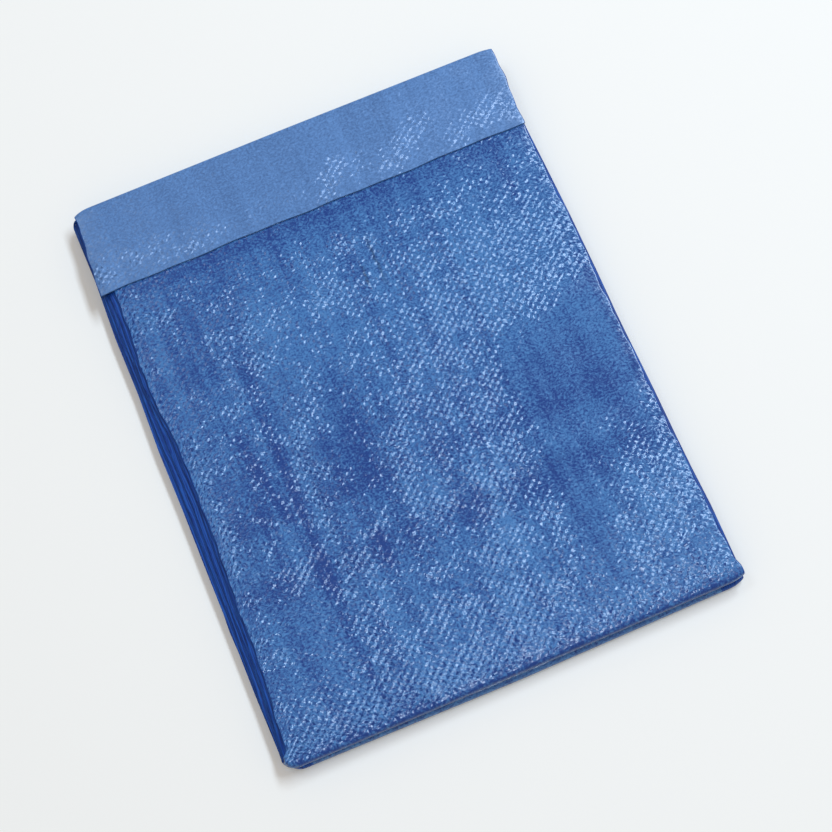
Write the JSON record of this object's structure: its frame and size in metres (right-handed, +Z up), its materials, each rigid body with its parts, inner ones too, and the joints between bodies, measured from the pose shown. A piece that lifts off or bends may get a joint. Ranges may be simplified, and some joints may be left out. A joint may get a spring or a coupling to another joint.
{
  "type": "folded tarp",
  "caption": "Woven polyethylene ground or cover sheet folded to a flat rectangular pack, with a narrow end flap folded over its top edge.",
  "frame": {"origin": "middle of the pack's footprint, on the surface that it lies on", "axes": "+X across the pack, +Y along the pack towards the end flap, +Z up out of the flap side"},
  "size_m": [0.2598, 0.3369, 0.0151],
  "materials": {
    "tarp_sheet": "glossy film-coated woven polyethylene, blue"
  },
  "bodies": {
    "root": {"tarp": "tarp_sheet"}
  },
  "joints": []
}
